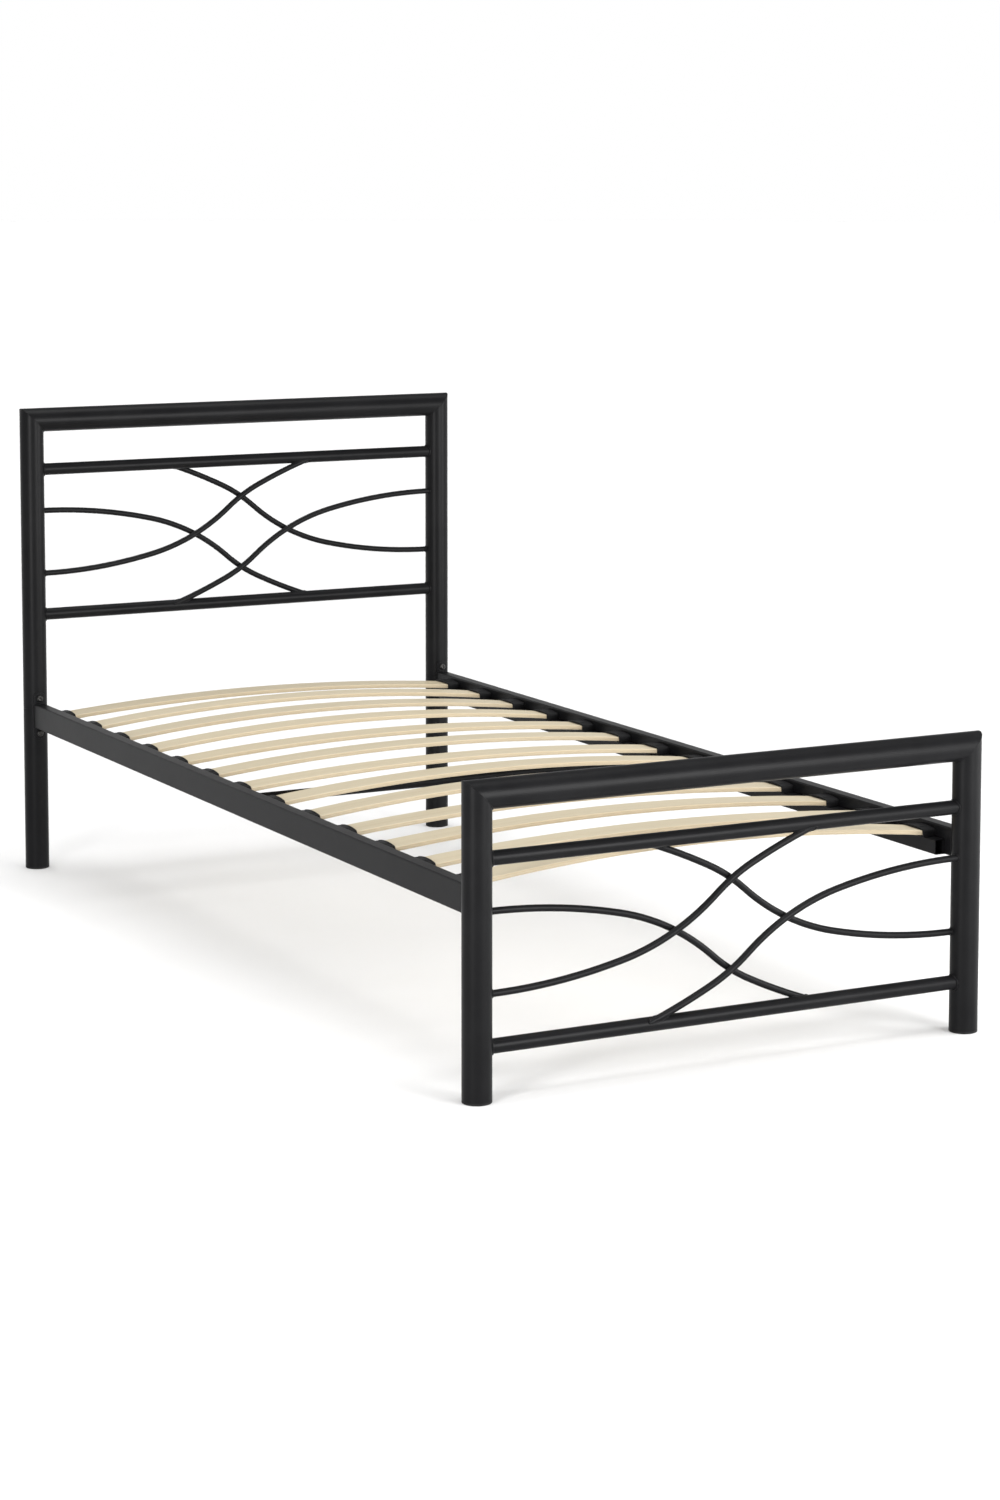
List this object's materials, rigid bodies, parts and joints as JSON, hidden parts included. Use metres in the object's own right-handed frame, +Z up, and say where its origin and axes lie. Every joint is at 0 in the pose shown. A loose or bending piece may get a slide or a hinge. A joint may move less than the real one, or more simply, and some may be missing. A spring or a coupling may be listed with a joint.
{
  "type": "single_metal_bed_frame",
  "caption": "Black tubular steel single bed frame with curved lattice headboard and footboard, rectangular side rails and bowed wooden slats in plastic holders.",
  "frame": {"origin": "on the floor under the middle of the bed", "axes": "+X to the right seen from the foot end, +Y from footboard to headboard, +Z up"},
  "size_m": [1.0198, 2.1078, 0.9954],
  "materials": {
    "frame_black": "satin black powder coat",
    "bolt_black": "black oxide",
    "bare_steel": "zinc plated",
    "slat_wood": "clear lacquered birch veneer",
    "holder_plastic": "moulded matt black",
    "glide_plastic": "moulded matt black"
  },
  "bodies": {
    "root": {"head_top_rail": "frame_black", "head_upper_crossbar": "frame_black", "head_lower_crossbar": "frame_black", "head_scroll_left_falling": "frame_black", "head_scroll_left_rising": "frame_black", "head_scroll_right_falling": "frame_black", "head_scroll_right_rising": "frame_black", "head_post_left": "frame_black", "head_glide_left": "glide_plastic", "rail_saddle_head_left": "frame_black", "head_post_right": "frame_black", "head_glide_right": "glide_plastic", "rail_saddle_head_right": "frame_black", "foot_top_rail": "frame_black", "foot_upper_crossbar": "frame_black", "foot_lower_crossbar": "frame_black", "foot_scroll_left_falling": "frame_black", "foot_scroll_left_rising": "frame_black", "foot_scroll_right_falling": "frame_black", "foot_scroll_right_rising": "frame_black", "foot_post_left": "frame_black", "foot_glide_left": "glide_plastic", "rail_saddle_foot_left": "frame_black", "foot_post_right": "frame_black", "foot_glide_right": "glide_plastic", "rail_saddle_foot_right": "frame_black", "head_leg_left": "frame_black", "head_spigot_left": "bare_steel", "side_rail_left": "frame_black", "slat_ledge_left": "frame_black", "slat_holders_left": "holder_plastic", "brace_flange_left": "frame_black", "head_leg_right": "frame_black", "head_spigot_right": "bare_steel", "side_rail_right": "frame_black", "slat_ledge_right": "frame_black", "slat_holders_right": "holder_plastic", "brace_flange_right": "frame_black", "centre_brace": "frame_black", "rail_bolts": "bolt_black", "post_nuts": "bare_steel", "brace_screws": "bolt_black", "brace_inserts": "bare_steel", "slat_01": "slat_wood", "slat_02": "slat_wood", "slat_03": "slat_wood", "slat_04": "slat_wood", "slat_05": "slat_wood", "slat_06": "slat_wood", "slat_07": "slat_wood", "slat_08": "slat_wood", "slat_09": "slat_wood", "slat_10": "slat_wood", "slat_11": "slat_wood", "slat_12": "slat_wood", "slat_13": "slat_wood"}
  },
  "joints": []
}
